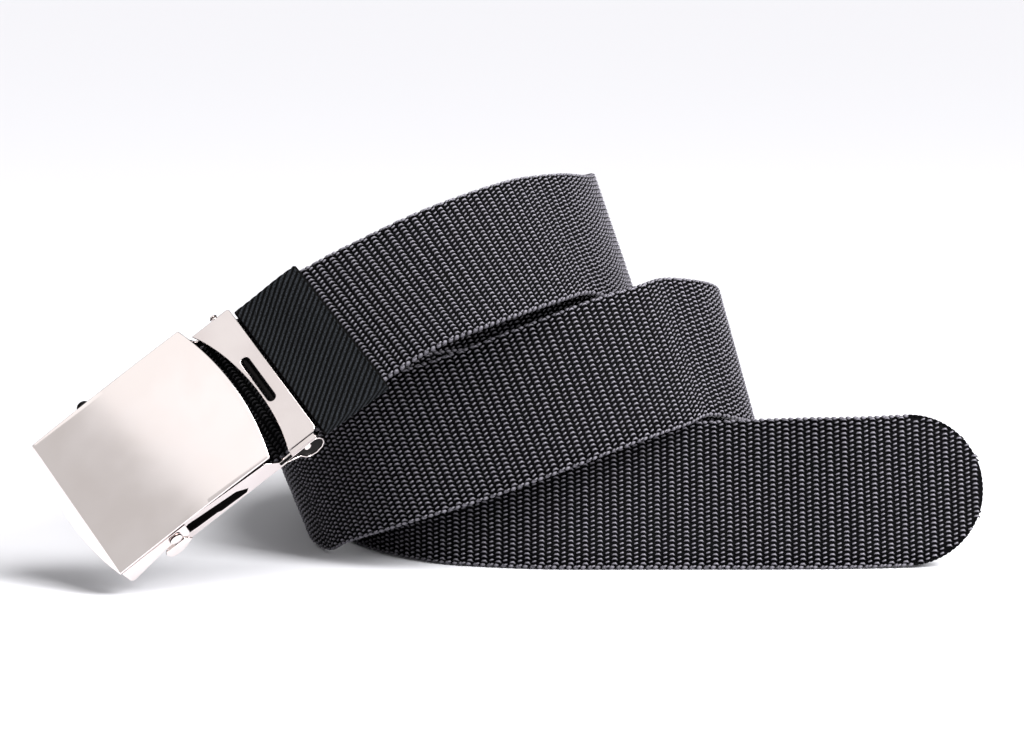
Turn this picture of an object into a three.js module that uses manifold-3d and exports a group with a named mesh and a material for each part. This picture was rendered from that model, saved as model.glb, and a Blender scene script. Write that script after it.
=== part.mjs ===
// Woven web belt, coiled on its edge, with a flip-top clamp buckle at its outer end.
// Millimetres, +Z up. The belt stands on the lower edge of its free end.
import * as THREE from 'three';
import { mergeVertices } from 'three/addons/utils/BufferGeometryUtils.js';
import Module from 'manifold-3d';

const wasm = await Module();
wasm.setup();

// Webbing
const webbingWidth = 38;
const webbingThickness = 2;
const selvedgeRound = 0.55;
const coilSpan = 100;
const strapSteps = 250;
const tipSteps = 10;
const restDepth = 0.4;
const waySamples = 3;

// Clearances
const seatGap = 0.3;
const sideGap = 0.9;

// Keeper sleeve
const keeperLength = 18.2;
const keeperWall = 1;
const keeperSlack = 0.3;
const keeperDrop = 0.2;
const keeperSteps = 6;
const keeperFromFrame = 0.4;

// Buckle sheet and sizes; its own x runs from the outer end to the webbing, y up the width, z out
const sheet = 0.6;
const jawSeat = 13.5;
const frameWallHeight = 8.6;
const frameWallFall = 1;
const windowStart = 2.6;
const windowLength = 18;
const windowHeight = 4.2;
const windowSill = 0.9;
const windowRound = 0.5;
const webbingInFrame = 20;
const webbingShift = 0.6;
const earRound = 1.7;

// Cover
const coverLength = 45.6;
const coverOuterArc = 3.2;
const coverInnerArc = 3.2;
const coverFlapDrop = 2.6;
const coverFlapLine = 0.4;
const coverEarLength = 7;
const coverEarTaper = 0.5;
const coverPinFromEnd = 15.6;
const coverFlangeGap = 3.6;
const coverBossRise = 0.7;
const coverBossRound = 1.6;
const coverBow = 0.5;
const coverRefine = 4.5;

// Pins
const coverPinRadius = 1;
const pinPlay = 0.3;
const pinHeadRadius = 1.6;
const pinHeadHeight = 1.6;
const pinHeadCrown = 0.6;
const pinHeadSkirt = 0.45;
const pinHeadFlush = 0.5;
const jawPinRadius = 0.7;
const jawPinInset = 4.9;
const jawPinHeight = 5.3;
const jawBossLength = 11.4;
const jawBossHeight = 7;
const jawBossRise = 1.7;
const jawBossShift = 1.4;
const jawBossDrop = 1.6;
const pinSegments = 20;
const arcSegments = 8;

// Clamp jaw
const jawEdgeInset = 0.5;
const jawCorner = 1.5;
const jawArcTop = 1.7;
const jawArcUpper = 7.2;
const jawArcLower = 8.9;
const jawArcBottom = 4.3;
const jawArcReach = 9;
const jawSlotLength = 14.3;
const jawSlotWidth = 2.4;
const jawSlotShift = -1;
const jawSlotPastPin = 0.1;
const jawKnuckle = 1.5;
const jawKnuckleFromSlot = 1.5;
const jawLip = 0.5;
const jawSideGap = 0.4;
const teethEachSide = 8;
const toothDepth = 0.5;

// Dependent sizes
const webbingTop = sheet + seatGap + webbingThickness;
const webbingMiddle = sheet + seatGap + webbingThickness / 2;
const frameInner = webbingWidth / 2 + sideGap;
const frameOuter = frameInner + sheet;
const coverPinX = earRound;
const coverPinHeight = frameWallHeight - earRound;
const coverOuterX = coverPinX - coverPinFromEnd;
const coverInnerX = coverOuterX + coverLength;
const frameLength = coverInnerX + jawSeat;
const jawPinX = frameLength - jawPinInset;
const coverHalf = frameOuter + seatGap + sheet;
const coverUnder = frameWallHeight + seatGap;

// The strap's way, a row per station from the free tip to the buckle: its lower edge x, y as shares
// of coilSpan, rise as a share of webbingWidth, and the x, y parts of the width's unit direction.
const route = [
  { x: 1.072, y: 0.038, rise: 0.03, leanX: -0.05, leanY: 0.1 },
  { x: 0.75, y: 0.012, rise: 0, leanX: -0.03, leanY: 0.13 },
  { x: 0.55, y: 0.002, rise: 0, leanX: -0.01, leanY: 0.27 },
  { x: 0.38, y: 0, rise: 0, leanX: 0, leanY: 0.37 },
  { x: 0.2, y: 0, rise: 0, leanX: 0, leanY: 0.42 },
  { x: -0.02, y: 0.002, rise: 0, leanX: 0, leanY: 0.4 },
  { x: -0.17, y: 0.03, rise: 0, leanX: 0, leanY: 0.37 },
  { x: -0.3, y: 0.078, rise: 0, leanX: 0, leanY: 0.33 },
  { x: -0.447, y: 0.225, rise: 0, leanX: 0, leanY: 0.22 },
  { x: -0.545, y: 0.42, rise: 0, leanX: -0.02, leanY: 0.1 },
  { x: -0.59, y: 0.66, rise: 0, leanX: -0.06, leanY: 0 },
  { x: -0.52, y: 0.93, rise: 0.02, leanX: -0.12, leanY: -0.08 },
  { x: -0.28, y: 1.13, rise: 0.08, leanX: -0.18, leanY: -0.12 },
  { x: 0.05, y: 1.15, rise: 0.17, leanX: -0.22, leanY: -0.1 },
  { x: 0.33, y: 0.98, rise: 0.32, leanX: -0.24, leanY: 0 },
  { x: 0.487, y: 0.72, rise: 0.54, leanX: -0.25, leanY: 0.12 },
  { x: 0.511, y: 0.45, rise: 0.76, leanX: -0.26, leanY: 0.22 },
  { x: 0.461, y: 0.27, rise: 0.88, leanX: -0.28, leanY: 0.28 },
  { x: 0.372, y: 0.148, rise: 0.955, leanX: -0.31, leanY: 0.35 },
  { x: 0.325, y: 0.085, rise: 0.925, leanX: -0.325, leanY: 0.3 },
  { x: 0.2, y: 0, rise: 0.845, leanX: -0.345, leanY: 0.27 },
  { x: 0.05, y: -0.055, rise: 0.715, leanX: -0.36, leanY: 0.29 },
  { x: -0.15, y: -0.075, rise: 0.525, leanX: -0.365, leanY: 0.33 },
  { x: -0.38, y: -0.035, rise: 0.315, leanX: -0.37, leanY: 0.31 },
  { x: -0.53, y: 0.1, rise: 0.13, leanX: -0.37, leanY: 0.22 },
  { x: -0.577, y: 0.2, rise: 0.03, leanX: -0.37, leanY: 0.15 },
  { x: -0.622, y: 0.34, rise: 0.01, leanX: -0.37, leanY: 0.08 },
  { x: -0.645, y: 0.58, rise: 0.01, leanX: -0.37, leanY: -0.04 },
  { x: -0.59, y: 0.93, rise: 0.2, leanX: -0.38, leanY: -0.18 },
  { x: -0.34, y: 1.22, rise: 0.62, leanX: -0.38, leanY: -0.2 },
  { x: -0.02, y: 1.27, rise: 1.04, leanX: -0.38, leanY: -0.15 },
  { x: 0.17, y: 1.06, rise: 1.37, leanX: -0.36, leanY: 0.02 },
  { x: 0.21, y: 0.76, rise: 1.5, leanX: -0.32, leanY: 0.24 },
  { x: 0.19, y: 0.46, rise: 1.595, leanX: -0.31, leanY: 0.4 },
  { x: 0.13, y: 0.22, rise: 1.72, leanX: -0.34, leanY: 0.505 },
  { x: 0.067, y: 0.11, rise: 1.785, leanX: -0.37, leanY: 0.58 },
  { x: 0.003, y: 0.02, rise: 1.765, leanX: -0.41, leanY: 0.552 },
  { x: -0.161, y: -0.135, rise: 1.665, leanX: -0.47, leanY: 0.555 },
  { x: -0.3, y: -0.208, rise: 1.54, leanX: -0.525, leanY: 0.575 },
  { x: -0.3985, y: -0.227, rise: 1.384, leanX: -0.555, leanY: 0.53 },
  { x: -0.561, y: -0.239, rise: 1.076, leanX: -0.555, leanY: 0.53 },
  { x: -0.739, y: -0.258, rise: 0.714, leanX: -0.555, leanY: 0.53 },
];

const lowerEdge = new THREE.CatmullRomCurve3(
  route.map((s) => new THREE.Vector3(s.x * coilSpan, s.y * coilSpan, s.rise * webbingWidth)),
  false,
  'centripetal',
);
const widthWay = new THREE.CatmullRomCurve3(
  route.map((s) => new THREE.Vector3(s.leanX, s.leanY, Math.sqrt(1 - s.leanX ** 2 - s.leanY ** 2))),
  false,
  'centripetal',
);

// Middle line of the strap, sampled closely, with its length so far at each sample
const sampleCount = 1600;
const middle = [];
let strapLength = 0;
for (let i = 0; i <= sampleCount; i += 1) {
  const t = i / sampleCount;
  const across = widthWay.getPoint(t).normalize();
  const point = lowerEdge.getPoint(t).addScaledVector(across, webbingWidth / 2);
  if (i > 0) {
    strapLength += point.distanceTo(middle[i - 1].point);
  }
  middle.push({ point, across, at: strapLength });
}

function strapFrame(along) {
  let hi = 1;
  while (hi < sampleCount && middle[hi].at < along) {
    hi += 1;
  }
  const a = middle[hi - 1];
  const b = middle[hi];
  const share = (along - a.at) / (b.at - a.at);
  const before = middle[Math.max(0, hi - waySamples)];
  const after = middle[Math.min(sampleCount, hi - 1 + waySamples)];
  const point = a.point.clone().lerp(b.point, share);
  const way = after.point.clone().sub(before.point).normalize();
  const across = a.across.clone().lerp(b.across, share).normalize();
  const out = across.clone().cross(way).normalize();
  return { point, way, across, out };
}

// Bend a straight extrusion, one unit per step, onto the strap's way
function wrapOnStrap(geometry, stations, widthShare) {
  const frames = stations.map((along) => strapFrame(along));
  const position = geometry.attributes.position;
  for (let i = 0; i < position.count; i += 1) {
    const step = Math.round(position.getZ(i));
    const f = frames[step];
    const v = position.getX(i) * widthShare(stations[step]);
    const p = f.point.clone().addScaledVector(f.across, v).addScaledVector(f.out, -position.getY(i));
    position.setXYZ(i, p.x, p.y, p.z);
  }
  geometry.computeVertexNormals();
  return geometry;
}

function toSolid(geometry) {
  const plain = geometry.clone();
  plain.deleteAttribute('normal');
  plain.deleteAttribute('uv');
  const merged = mergeVertices(plain, 1e-4);
  return new wasm.Manifold(
    new wasm.Mesh({
      numProp: 3,
      vertProperties: new Float32Array(merged.attributes.position.array),
      triVerts: new Uint32Array(merged.index.array),
    }),
  );
}

function toGeometry(solid) {
  const mesh = solid.getMesh();
  const geometry = new THREE.BufferGeometry();
  geometry.setAttribute('position', new THREE.BufferAttribute(mesh.vertProperties, 3));
  geometry.setIndex(new THREE.BufferAttribute(mesh.triVerts, 1));
  geometry.computeVertexNormals();
  return geometry;
}

function boxSolid(x0, x1, y0, y1, z0, z1) {
  const geometry = new THREE.BoxGeometry(x1 - x0, y1 - y0, z1 - z0);
  geometry.translate((x0 + x1) / 2, (y0 + y1) / 2, (z0 + z1) / 2);
  return toSolid(geometry);
}

// Cylinder along y between y0 and y1
function barSolid(x, z, radius, y0, y1) {
  const geometry = new THREE.CylinderGeometry(radius, radius, y1 - y0, pinSegments);
  geometry.translate(x, (y0 + y1) / 2, z);
  return toSolid(geometry);
}

// Flat shape drawn in x, z and given its thickness along y
function sideSolid(shape, y0, y1) {
  const geometry = new THREE.ExtrudeGeometry(shape, {
    depth: y1 - y0,
    bevelEnabled: false,
    curveSegments: arcSegments,
  });
  geometry.rotateX(Math.PI / 2);
  geometry.translate(0, y1, 0);
  return toSolid(geometry);
}

// Flat shape drawn in x, y and given its thickness along z
function flatSolid(shape, z0, z1) {
  const geometry = new THREE.ExtrudeGeometry(shape, {
    depth: z1 - z0,
    bevelEnabled: false,
    curveSegments: arcSegments,
  });
  geometry.translate(0, 0, z0);
  return toSolid(geometry);
}

const nickel = { color: 0xd8d0cd, roughness: 0.18, metalness: 1 };

function namedMesh(name, geometry, look) {
  const mesh = new THREE.Mesh(geometry, new THREE.MeshStandardMaterial(look));
  mesh.name = name;
  return mesh;
}

// Strap: one long strip with rounded selvedges and a half-round tip, its lowest edge pressed flat
// where it stands on the floor
const halfWidth = webbingWidth / 2;
const halfThick = webbingThickness / 2;
const strapSection = new THREE.Shape();
strapSection.moveTo(-halfWidth, -halfThick + selvedgeRound);
strapSection.lineTo(-halfWidth + selvedgeRound, -halfThick);
strapSection.lineTo(halfWidth - selvedgeRound, -halfThick);
strapSection.lineTo(halfWidth, -halfThick + selvedgeRound);
strapSection.lineTo(halfWidth, halfThick - selvedgeRound);
strapSection.lineTo(halfWidth - selvedgeRound, halfThick);
strapSection.lineTo(-halfWidth + selvedgeRound, halfThick);
strapSection.lineTo(-halfWidth, halfThick - selvedgeRound);
strapSection.closePath();

const strapStations = [];
for (let i = 0; i <= strapSteps; i += 1) {
  if (i < tipSteps) {
    strapStations.push(halfWidth * (1 - Math.cos(((i + 1) / (tipSteps + 1)) * (Math.PI / 2))));
  } else {
    const share = (i - tipSteps) / (strapSteps - tipSteps);
    strapStations.push(halfWidth + (strapLength - halfWidth) * share);
  }
}
const strapWidthShare = (along) =>
  along >= halfWidth ? 1 : Math.sqrt(1 - (1 - along / halfWidth) ** 2);
const strapGeometry = wrapOnStrap(
  new THREE.ExtrudeGeometry(strapSection, { depth: strapSteps, steps: strapSteps, bevelEnabled: false }),
  strapStations,
  strapWidthShare,
);
const strapPositions = strapGeometry.attributes.position;
let floorLevel = Infinity;
for (let i = 0; i < strapPositions.count; i += 1) {
  floorLevel = Math.min(floorLevel, strapPositions.getZ(i));
}
for (let i = 0; i < strapPositions.count; i += 1) {
  if (strapPositions.getZ(i) < floorLevel + restDepth) {
    strapPositions.setZ(i, floorLevel);
  }
}
const webbingLook = { color: 0x2b292b, roughness: 0.8, metalness: 0 };
const webbingStrap = namedMesh('webbing_strap', strapGeometry, webbingLook);

// Keeper: a sleeve round the strap, next to the buckle's frame
const keeperHole = halfThick + seatGap;
const keeperTop = halfWidth + seatGap + keeperSlack - keeperDrop;
const keeperBottom = -halfWidth - seatGap - keeperSlack - keeperDrop;
function roundedBox(target, left, right, low, high, round) {
  target.moveTo(left + round, low);
  target.lineTo(right - round, low);
  target.absarc(right - round, low + round, round, -Math.PI / 2, 0, false);
  target.lineTo(right, high - round);
  target.absarc(right - round, high - round, round, 0, Math.PI / 2, false);
  target.lineTo(left + round, high);
  target.absarc(left + round, high - round, round, Math.PI / 2, Math.PI, false);
  target.lineTo(left, low + round);
  target.absarc(left + round, low + round, round, Math.PI, Math.PI * 1.5, false);
  return target;
}
const keeperShape = roundedBox(
  new THREE.Shape(),
  keeperBottom - keeperWall,
  keeperTop + keeperWall,
  -keeperHole - keeperWall,
  keeperHole + keeperWall,
  keeperHole,
);
keeperShape.holes.push(
  roundedBox(new THREE.Path(), keeperBottom, keeperTop, -keeperHole, keeperHole, keeperHole / 2),
);
const frameEndAlong = strapLength - webbingInFrame;
const keeperStations = [];
for (let i = 0; i <= keeperSteps; i += 1) {
  keeperStations.push(frameEndAlong - keeperFromFrame - keeperLength * (1 - i / keeperSteps));
}
const keeperGeometry = wrapOnStrap(
  new THREE.ExtrudeGeometry(keeperShape, {
    depth: keeperSteps,
    steps: keeperSteps,
    bevelEnabled: false,
    curveSegments: 4,
  }),
  keeperStations,
  () => 1,
);
const keeperLook = { color: 0x1c1e1f, roughness: 0.9, metalness: 0 };
const keeperLoop = namedMesh('keeper_loop', keeperGeometry, keeperLook);

// Frame: a folded channel, its floor under the webbing and a windowed wall up each side
const wallShape = new THREE.Shape();
wallShape.moveTo(0, 0);
wallShape.lineTo(frameLength, 0);
const wallEndHeight = frameWallHeight - frameWallFall;
wallShape.lineTo(frameLength, wallEndHeight - earRound);
wallShape.absarc(frameLength - earRound, wallEndHeight - earRound, earRound, 0, Math.PI / 2, false);
wallShape.lineTo(earRound, frameWallHeight);
wallShape.absarc(earRound, frameWallHeight - earRound, earRound, Math.PI / 2, Math.PI, false);
wallShape.closePath();
const wallWindow = new THREE.Path();
const windowX = coverPinX + windowStart;
roundedBox(wallWindow, windowX, windowX + windowLength, windowSill, windowSill + windowHeight, windowRound);
wallShape.holes.push(wallWindow);

let frameSolid = boxSolid(0, frameLength, -frameInner - sheet / 2, frameInner + sheet / 2, 0, sheet);
const jawBoss = new THREE.Shape();
roundedBox(
  jawBoss,
  jawPinX - jawBossShift - jawBossLength / 2,
  jawPinX - jawBossShift + jawBossLength / 2,
  jawPinHeight - jawBossDrop - jawBossHeight / 2,
  jawPinHeight - jawBossDrop + jawBossHeight / 2,
  jawBossHeight / 2,
);
for (const side of [-1, 1]) {
  const y0 = side > 0 ? frameInner : -frameOuter;
  frameSolid = frameSolid.add(sideSolid(wallShape, y0, y0 + sheet));
}
frameSolid = frameSolid.add(sideSolid(jawBoss, -frameOuter - jawBossRise, -frameOuter + sheet / 2));
const pinHoleReach = frameOuter + seatGap + sheet + coverBossRise + jawBossRise;
frameSolid = frameSolid.subtract(
  barSolid(coverPinX, coverPinHeight, coverPinRadius + pinPlay, -pinHoleReach, pinHoleReach),
);
frameSolid = frameSolid.subtract(
  barSolid(jawPinX, jawPinHeight, jawPinRadius + pinPlay, -pinHoleReach, pinHoleReach),
);
const buckleFrame = namedMesh('buckle_frame', toGeometry(frameSolid), nickel);

// Cover: a slightly bowed plate with arched ends, a bent outer flap and an ear down each side
const coverBend = coverOuterX + coverFlapLine;
function archX(chordX, rise, share) {
  return chordX + rise * (1 - share * share);
}
const coverShape = new THREE.Shape();
const archSteps = 16;
for (let i = 0; i <= archSteps; i += 1) {
  const share = -1 + (2 * i) / archSteps;
  const x = archX(coverInnerX, coverInnerArc, share);
  if (i === 0) {
    coverShape.moveTo(x, share * coverHalf);
  } else {
    coverShape.lineTo(x, share * coverHalf);
  }
}
for (let i = 0; i <= archSteps; i += 1) {
  const share = 1 - (2 * i) / archSteps;
  coverShape.lineTo(archX(coverOuterX, -coverOuterArc, share), share * coverHalf);
}
coverShape.closePath();
const coverFlat = flatSolid(coverShape, coverUnder, coverUnder + sheet);
const coverFace = toGeometry(coverFlat.trimByPlane([1, 0, 0], coverBend).refineToLength(coverRefine));
const coverPositions = coverFace.attributes.position;
for (let i = 0; i < coverPositions.count; i += 1) {
  const along = (coverPositions.getX(i) - coverBend) / (coverInnerX + coverInnerArc - coverBend);
  coverPositions.setZ(i, coverPositions.getZ(i) + coverBow * 4 * along * (1 - along));
}
const coverFlap = toGeometry(coverFlat.trimByPlane([-1, 0, 0], -coverBend));
const flapPositions = coverFlap.attributes.position;
for (let i = 0; i < flapPositions.count; i += 1) {
  const past = (coverBend - flapPositions.getX(i)) / (coverOuterArc + coverFlapLine);
  flapPositions.setZ(i, flapPositions.getZ(i) - coverFlapDrop * past);
}
let coverSolid = toSolid(coverFace).add(toSolid(coverFlap));
const earShape = new THREE.Shape();
const earHalf = coverEarLength / 2;
earShape.moveTo(coverBend, coverUnder + sheet);
earShape.lineTo(coverBend, coverFlangeGap);
earShape.lineTo(coverPinX - earHalf, coverPinHeight - earHalf + coverEarTaper);
earShape.lineTo(coverPinX, coverPinHeight - earHalf);
earShape.absarc(coverPinX, coverPinHeight, earHalf, -Math.PI / 2, 0, false);
earShape.lineTo(coverPinX + earHalf, coverUnder + sheet);
earShape.closePath();
const coverBoss = new THREE.Shape();
roundedBox(
  coverBoss,
  coverPinX - earHalf,
  coverPinX + earHalf,
  coverPinHeight - coverBossRound,
  coverPinHeight + coverBossRound,
  coverBossRound,
);
for (const side of [-1, 1]) {
  const y0 = side > 0 ? frameOuter + seatGap : -frameOuter - seatGap - sheet;
  coverSolid = coverSolid.add(sideSolid(earShape, y0, y0 + sheet));
  const bossStart = side > 0 ? y0 + sheet / 2 : y0 - coverBossRise;
  coverSolid = coverSolid.add(sideSolid(coverBoss, bossStart, bossStart + sheet / 2 + coverBossRise));
}
coverSolid = coverSolid.subtract(
  barSolid(coverPinX, coverPinHeight, coverPinRadius + pinPlay, -pinHoleReach, pinHoleReach),
);
const coverPlate = namedMesh('cover_plate', toGeometry(coverSolid), nickel);

// Pins: turned rivets, a plain shank and a domed head at each end
function rivet(name, x, z, radius, lowSeat, highSeat, highHead) {
  const profile = [new THREE.Vector2(0, -lowSeat - pinHeadHeight)];
  profile.push(new THREE.Vector2(pinHeadRadius * pinHeadCrown, -lowSeat - pinHeadHeight));
  profile.push(new THREE.Vector2(pinHeadRadius, -lowSeat - pinHeadHeight * pinHeadSkirt));
  profile.push(new THREE.Vector2(pinHeadRadius, -lowSeat));
  profile.push(new THREE.Vector2(radius, -lowSeat));
  profile.push(new THREE.Vector2(radius, highSeat));
  profile.push(new THREE.Vector2(pinHeadRadius, highSeat));
  profile.push(new THREE.Vector2(pinHeadRadius, highSeat + highHead * pinHeadSkirt));
  profile.push(new THREE.Vector2(pinHeadRadius * pinHeadCrown, highSeat + highHead));
  profile.push(new THREE.Vector2(0, highSeat + highHead));
  const mesh = namedMesh(name, new THREE.LatheGeometry(profile, pinSegments), nickel);
  mesh.position.set(x, 0, z);
  return mesh;
}
const coverPinSeat = frameOuter + seatGap + sheet + coverBossRise + seatGap;
const coverPin = rivet(
  'cover_pin',
  coverPinX,
  coverPinHeight,
  coverPinRadius,
  coverPinSeat,
  coverPinSeat,
  pinHeadHeight,
);
const jawPin = rivet(
  'jaw_pin',
  jawPinX,
  jawPinHeight,
  jawPinRadius,
  frameOuter + jawBossRise + seatGap,
  frameOuter + seatGap,
  pinHeadFlush,
);

// Clamp jaw: a slotted plate with a hollow left edge, knuckles on its pin and a row of teeth
const jawPlateLow = jawPinHeight + jawPinRadius + seatGap;
const jawHalf = frameInner - jawSideGap;
const jawRight = frameLength - jawEdgeInset;
const jawShape = new THREE.Shape();
jawShape.moveTo(jawRight - jawCorner, -jawHalf);
jawShape.absarc(jawRight - jawCorner, -jawHalf + jawCorner, jawCorner, -Math.PI / 2, 0, false);
jawShape.lineTo(jawRight, jawHalf - jawCorner / 2);
jawShape.absarc(jawRight - jawCorner / 2, jawHalf - jawCorner / 2, jawCorner / 2, 0, Math.PI / 2, false);
jawShape.lineTo(coverInnerX + jawArcTop, jawHalf);
jawShape.bezierCurveTo(
  coverInnerX + jawArcUpper,
  jawArcReach,
  coverInnerX + jawArcLower,
  -jawArcReach,
  coverInnerX + jawArcBottom,
  -jawHalf,
);
jawShape.closePath();
const slotX = jawPinX + jawSlotPastPin;
const slotEnd = jawSlotLength / 2 - jawSlotWidth / 2;
const slotHole = new THREE.Path();
slotHole.moveTo(slotX + jawSlotWidth / 2, jawSlotShift - slotEnd);
slotHole.lineTo(slotX + jawSlotWidth / 2, jawSlotShift + slotEnd);
slotHole.absarc(slotX, jawSlotShift + slotEnd, jawSlotWidth / 2, 0, Math.PI, false);
slotHole.lineTo(slotX - jawSlotWidth / 2, jawSlotShift - slotEnd);
slotHole.absarc(slotX, jawSlotShift - slotEnd, jawSlotWidth / 2, Math.PI, 2 * Math.PI, false);
jawShape.holes.push(slotHole);
let jawSolid = flatSolid(jawShape, jawPlateLow, jawPlateLow + sheet);
const lipHalf = jawHalf - jawCorner;
jawSolid = jawSolid.add(
  boxSolid(jawRight - sheet, jawRight, -lipHalf, lipHalf, jawPlateLow - jawLip, jawPlateLow + sheet / 2),
);
const knuckleStart = jawSlotLength / 2 + jawKnuckleFromSlot;
const toothTip = webbingTop + seatGap;
for (const side of [-1, 1]) {
  const y0 = side > 0 ? jawSlotShift + knuckleStart : -jawHalf;
  const y1 = side > 0 ? jawHalf : jawSlotShift - knuckleStart;
  jawSolid = jawSolid.add(barSolid(jawPinX, jawPinHeight, jawKnuckle, y0, y1));
  jawSolid = jawSolid.add(
    boxSolid(jawPinX - jawKnuckle, jawPinX + jawKnuckle, y0, y1, jawPinHeight, jawPlateLow + sheet / 2),
  );
  const pitch = (y1 - y0) / teethEachSide;
  const comb = new THREE.Shape();
  comb.moveTo(y0, jawPinHeight - jawPinRadius - pinPlay - seatGap);
  for (let i = 0; i < teethEachSide; i += 1) {
    comb.lineTo(y0 + pitch * i, toothTip + toothDepth);
    comb.lineTo(y0 + pitch * (i + 0.5), toothTip);
  }
  comb.lineTo(y1, toothTip + toothDepth);
  comb.lineTo(y1, jawPinHeight - jawPinRadius - pinPlay - seatGap);
  comb.closePath();
  const combGeometry = new THREE.ExtrudeGeometry(comb, { depth: sheet, bevelEnabled: false });
  combGeometry.rotateX(Math.PI / 2);
  combGeometry.rotateZ(Math.PI / 2);
  combGeometry.translate(jawPinX - sheet / 2, 0, 0);
  jawSolid = jawSolid.add(toSolid(combGeometry));
}
jawSolid = jawSolid.subtract(
  barSolid(jawPinX, jawPinHeight, jawPinRadius + pinPlay, -pinHoleReach, pinHoleReach),
);
const clampJaw = namedMesh('clamp_jaw', toGeometry(jawSolid), nickel);

// The buckle rides on the end of the strap
const strapEnd = strapFrame(strapLength);
const buckle = new THREE.Group();
const buckleX = strapEnd.way.clone().negate();
const buckleY = strapEnd.out.clone().cross(buckleX);
const turn = new THREE.Matrix4().makeBasis(buckleX, buckleY, strapEnd.out);
buckle.quaternion.setFromRotationMatrix(turn);
buckle.position
  .copy(strapEnd.point)
  .addScaledVector(buckleX, webbingInFrame - frameLength)
  .addScaledVector(buckleY, webbingShift)
  .addScaledVector(strapEnd.out, -webbingMiddle);
buckle.add(buckleFrame, coverPlate, coverPin, clampJaw, jawPin);

// Stand the belt on the floor, its box centred on the origin
const belt = new THREE.Group();
belt.add(webbingStrap, keeperLoop, buckle);
belt.updateMatrixWorld(true);
const extent = new THREE.Box3().setFromObject(belt, true);
belt.position.set(-(extent.min.x + extent.max.x) / 2, -(extent.min.y + extent.max.y) / 2, -extent.min.z);

export default belt;
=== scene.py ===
import math

import bmesh
import bpy
import numpy as np
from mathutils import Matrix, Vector


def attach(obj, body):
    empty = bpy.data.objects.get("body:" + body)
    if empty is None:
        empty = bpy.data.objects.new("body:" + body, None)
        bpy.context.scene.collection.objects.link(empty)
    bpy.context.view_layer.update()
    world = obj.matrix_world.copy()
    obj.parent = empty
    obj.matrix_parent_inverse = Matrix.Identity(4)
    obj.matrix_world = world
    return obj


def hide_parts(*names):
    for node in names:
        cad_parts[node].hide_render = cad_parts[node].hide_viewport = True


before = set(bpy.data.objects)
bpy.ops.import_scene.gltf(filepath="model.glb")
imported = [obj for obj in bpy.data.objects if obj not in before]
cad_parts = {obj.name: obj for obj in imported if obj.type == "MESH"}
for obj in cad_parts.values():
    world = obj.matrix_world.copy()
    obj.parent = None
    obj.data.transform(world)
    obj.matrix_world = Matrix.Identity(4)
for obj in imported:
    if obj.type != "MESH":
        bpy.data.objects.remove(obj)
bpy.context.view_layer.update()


# Camera. It stands 0.9 m in front of the belt, eight degrees above it, with a long lens, so the
# strips keep the photograph's slight narrowing towards the back.
camera_distance = 0.9
camera_height_angle = math.radians(8)
camera_aim = Vector((-0.00032, -0.04636, 0.04856))
camera_way = Vector((0, math.cos(camera_height_angle), -math.sin(camera_height_angle)))
camera_data = bpy.data.cameras.new("camera")
camera_data.sensor_width = 36
camera_data.lens = 127.5
camera_data.clip_start = 0.05
camera_data.clip_end = 50
camera = bpy.data.objects.new("camera", camera_data)
bpy.context.scene.collection.objects.link(camera)
camera.location = camera_aim - camera_way * camera_distance
camera.rotation_euler = (math.radians(90) - camera_height_angle, 0, 0)
bpy.context.scene.camera = camera
bpy.context.scene.view_settings.view_transform = "Standard"


# Studio. A pale paper floor runs back past the belt under a white surround. A soft light comes
# from the right, in front and above, and a white panel stands where the buckle's cover mirrors it.
def linear(colour):
    """Linear colour of an sRGB hex value"""
    shares = [int(colour[k : k + 2], 16) / 255 for k in (1, 3, 5)]
    return [c / 12.92 if c <= 0.04045 else ((c + 0.055) / 1.055) ** 2.4 for c in shares] + [1]


def add_node(tree, kind, settings=None, inputs=None):
    """Adds a node. An input given as (node, output name) is linked, any other value is set."""
    made = tree.nodes.new(kind)
    for key, value in (settings or {}).items():
        setattr(made, key, value)
    for key, value in (inputs or {}).items():
        if isinstance(value, tuple) and isinstance(value[0], bpy.types.Node):
            tree.links.new(value[0].outputs[value[1]], made.inputs[key])
        else:
            made.inputs[key].default_value = value
    return made


def new_material(name):
    material = bpy.data.materials.new(name)
    material.use_nodes = True
    material.node_tree.nodes.clear()
    return material, material.node_tree


def finish_material(tree, shader):
    add_node(tree, "ShaderNodeOutputMaterial", None, {"Surface": (shader, "BSDF")})


def put_in_scene(name, mesh, material):
    piece = bpy.data.objects.new(name, mesh)
    bpy.context.scene.collection.objects.link(piece)
    mesh.materials.clear()
    mesh.materials.append(material)
    return piece


floor_half = 12
# Pale matt paper, nearly white, so that the belt stands in an empty surround
paper, tree = new_material("matt_paper")
shader = add_node(
    tree,
    "ShaderNodeBsdfPrincipled",
    None,
    {"Base Color": linear("#D9D9DD"), "Roughness": 0.9, "Specular IOR Level": 0.1},
)
finish_material(tree, shader)
bm = bmesh.new()
bmesh.ops.create_grid(bm, x_segments=1, y_segments=1, size=floor_half)
floor_mesh = bpy.data.meshes.new("floor")
bm.to_mesh(floor_mesh)
bm.free()
floor = put_in_scene("floor", floor_mesh, paper)

world = bpy.data.worlds.new("surround")
world.use_nodes = True
tree = world.node_tree
tree.nodes.clear()
place = add_node(tree, "ShaderNodeTexCoord")
apart = add_node(tree, "ShaderNodeSeparateXYZ", None, {"Vector": (place, "Generated")})
depth_tone = add_node(
    tree,
    "ShaderNodeMapRange",
    None,
    {"Value": (apart, "Y"), "From Min": -0.1, "From Max": 0.5, "To Min": 0.66, "To Max": 0.1},
)
surround = add_node(
    tree,
    "ShaderNodeBackground",
    None,
    {"Color": linear("#FFFFFF"), "Strength": (depth_tone, "Result")},
)
add_node(tree, "ShaderNodeOutputWorld", None, {"Surface": (surround, "Background")})
bpy.context.scene.world = world


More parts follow.
